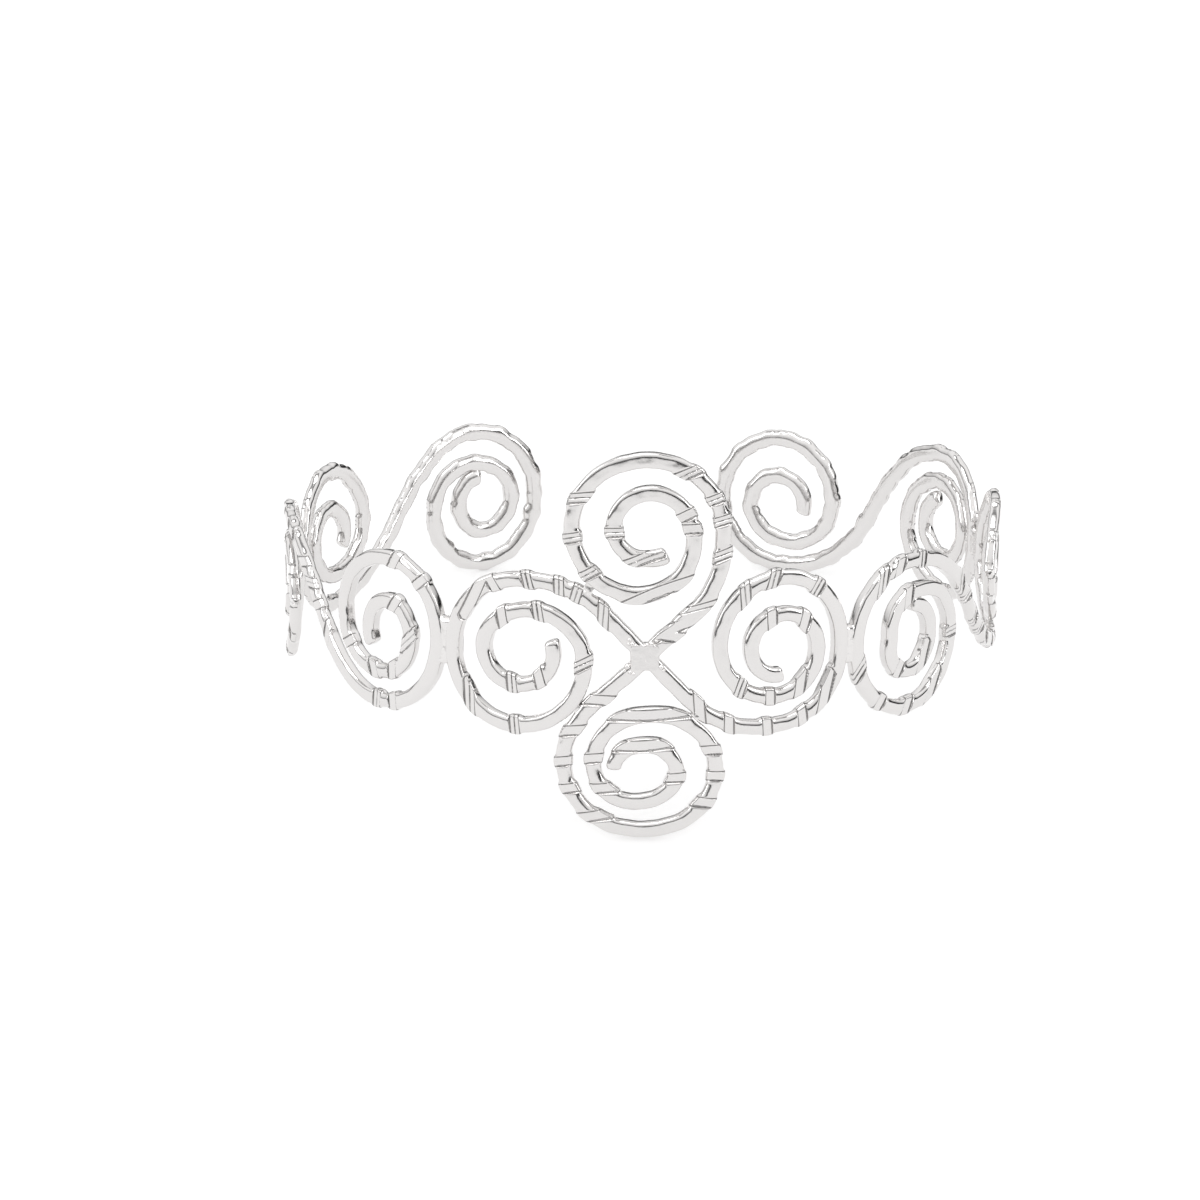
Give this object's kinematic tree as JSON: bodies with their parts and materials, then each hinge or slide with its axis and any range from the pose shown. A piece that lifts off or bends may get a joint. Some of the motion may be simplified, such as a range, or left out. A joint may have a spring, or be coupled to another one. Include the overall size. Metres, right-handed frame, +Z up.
{
  "type": "upper arm cuff",
  "caption": "Open upper arm cuff of polished silver wire, bent into S scrolls with a spiral at each end and soldered into one springy band.",
  "frame": {"origin": "bottom centre of the bounding box of the cuff as it rests on a flat surface", "axes": "+X across the cuff from side to side, +Y from the front scrolls toward the opening, +Z up"},
  "size_m": [0.0814, 0.0748, 0.0416],
  "materials": {
    "silver_wire": "polished silver plate"
  },
  "bodies": {
    "root": {"scroll_cuff": "silver_wire"}
  },
  "joints": []
}
